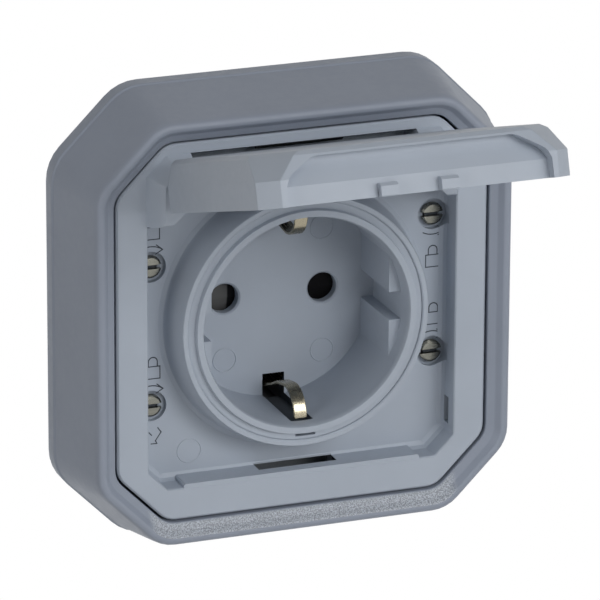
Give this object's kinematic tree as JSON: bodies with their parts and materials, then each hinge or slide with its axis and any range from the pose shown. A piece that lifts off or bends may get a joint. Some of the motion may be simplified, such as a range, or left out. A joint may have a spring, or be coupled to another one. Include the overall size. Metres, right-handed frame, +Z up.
{
  "type": "flush weatherproof wall socket outlet",
  "caption": "Square wall socket with chamfered corners, a dished outer frame, a sunk round well with earth clips and a hinged weather lid that stands open.",
  "frame": {"origin": "centre of the wall plane behind the outer frame, on the axis of the round well", "axes": "+X to the right seen from the front, +Y into the wall, +Z up; the lid opens towards -Y and up"},
  "size_m": [0.085, 0.0925, 0.0906],
  "materials": {
    "frame_plastic": "fine satin, metallic-grey lacquer look",
    "panel_plastic": "satin, light silver-grey",
    "inner_plastic": "matt moulded",
    "rubber": "soft matt",
    "steel": "plain bright",
    "zinc": "nickelled, slightly warm",
    "brass": "plain"
  },
  "bodies": {
    "housing": {"frame_bezel": "frame_plastic", "wall_seal": "rubber", "support_frame": "inner_plastic", "panel_seal": "rubber", "panel": "panel_plastic", "hinge_pin_left": "steel", "hinge_pin_right": "steel", "detent_leaf": "steel", "socket_cup": "panel_plastic", "mechanism_base": "inner_plastic", "rear_cover": "inner_plastic", "fixing_screw_left": "steel", "fixing_screw_right": "steel", "line_contact": "brass", "neutral_contact": "brass", "earth_strap": "steel", "line_terminal_screw": "steel", "neutral_terminal_screw": "steel", "earth_terminal_screw": "steel", "body_screw_left": "steel", "body_screw_right": "steel", "shutter_spring": "steel"},
    "lid": {"lid": "panel_plastic", "lid_gasket": "rubber"},
    "lock_upper_left": {"lock_screw_upper_left": "zinc", "lock_washer_upper_left": "steel"},
    "lock_lower_left": {"lock_screw_lower_left": "zinc", "lock_washer_lower_left": "steel"},
    "lock_upper_right": {"lock_screw_upper_right": "zinc", "lock_washer_upper_right": "steel"},
    "lock_lower_right": {"lock_screw_lower_right": "zinc", "lock_washer_lower_right": "steel"},
    "shutter": {"shutter": "inner_plastic"}
  },
  "joints": [
    {"name": "lid_hinge", "type": "hinge", "parent": "housing", "child": "lid", "pos_m": [0, -0.0175, 0.028], "axis": [-1, 0, 0], "range_deg": [-107.6, 12.4]},
    {"name": "lock_upper_left_turn", "type": "hinge", "parent": "housing", "child": "lock_upper_left", "pos_m": [-0.027, -0.0112, 0.0111], "axis": [0, -1, 0], "range_deg": [0, 90]},
    {"name": "lock_lower_left_turn", "type": "hinge", "parent": "housing", "child": "lock_lower_left", "pos_m": [-0.027, -0.0112, -0.0151], "axis": [0, -1, 0], "range_deg": [0, 90]},
    {"name": "lock_upper_right_turn", "type": "hinge", "parent": "housing", "child": "lock_upper_right", "pos_m": [0.027, -0.0112, 0.0151], "axis": [0, -1, 0], "range_deg": [0, 90]},
    {"name": "lock_lower_right_turn", "type": "hinge", "parent": "housing", "child": "lock_lower_right", "pos_m": [0.027, -0.0112, -0.0111], "axis": [0, -1, 0], "range_deg": [0, 90]},
    {"name": "shutter_slide", "type": "slide", "parent": "housing", "child": "shutter", "axis": [0, 0, 1], "range_m": [0, 0.0066], "stiffness_N_per_m": 15, "springref_m": -0.003, "deforming": ["shutter_spring"]}
  ]
}
